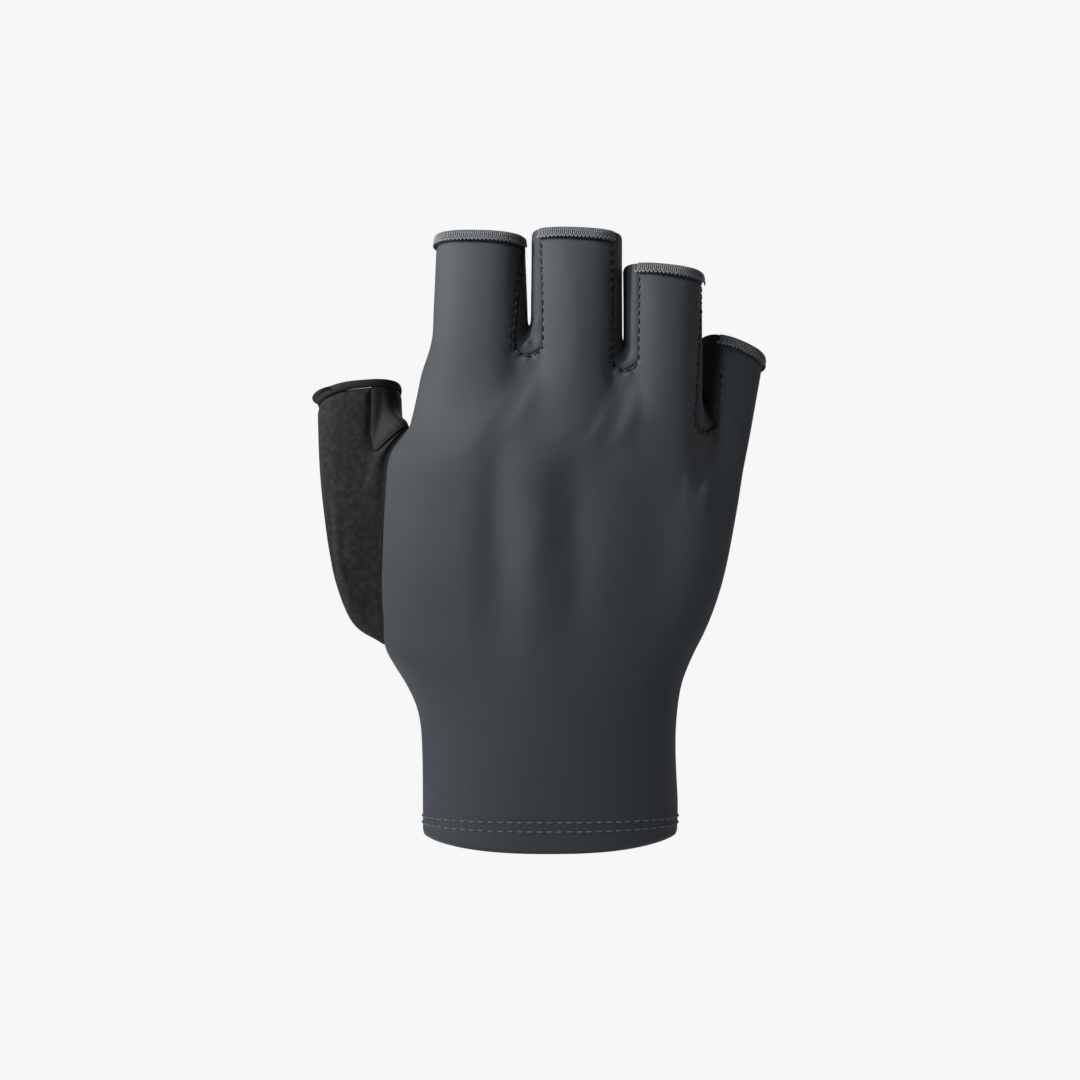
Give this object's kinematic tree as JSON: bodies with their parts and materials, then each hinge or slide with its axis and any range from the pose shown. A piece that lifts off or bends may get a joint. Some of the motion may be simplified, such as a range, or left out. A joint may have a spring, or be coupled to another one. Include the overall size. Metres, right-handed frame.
{
  "type": "cycling glove",
  "caption": "Right-hand short-finger cycling glove, filled out as worn: knit back, suede palm and thumb, stitched gussets between open finger holes, hemmed pull-on cuff.",
  "frame": {"origin": "centre of the cuff opening", "axes": "+Z from the cuff towards the fingertips, +X towards the little finger's side, -Y out of the back of the hand and +Y out of the palm"},
  "size_m": [0.1195, 0.0423, 0.1626],
  "materials": {
    "back_knit": "fine slate-grey stretch knit with a soft sheen",
    "gusset_knit": "the same stretch knit, in the strips between the fingers",
    "edge_overlock": "light grey overlocked edging",
    "palm_suede": "matt black pebbled suede",
    "smooth_leather": "smooth black-brown leather, slightly satin"
  },
  "bodies": {
    "root": {"back_panel": "back_knit", "palm_panel": "palm_suede", "wrist_panel": "back_knit", "thumb_panel": "palm_suede", "thumb_gusset": "smooth_leather", "index_middle_gusset": "gusset_knit", "middle_ring_gusset": "gusset_knit", "ring_little_gusset": "gusset_knit", "index_edge_binding": "edge_overlock", "middle_edge_binding": "edge_overlock", "ring_edge_binding": "edge_overlock", "little_edge_binding": "edge_overlock", "thumb_edge_binding": "smooth_leather", "cuff_hem": "back_knit"}
  },
  "joints": []
}
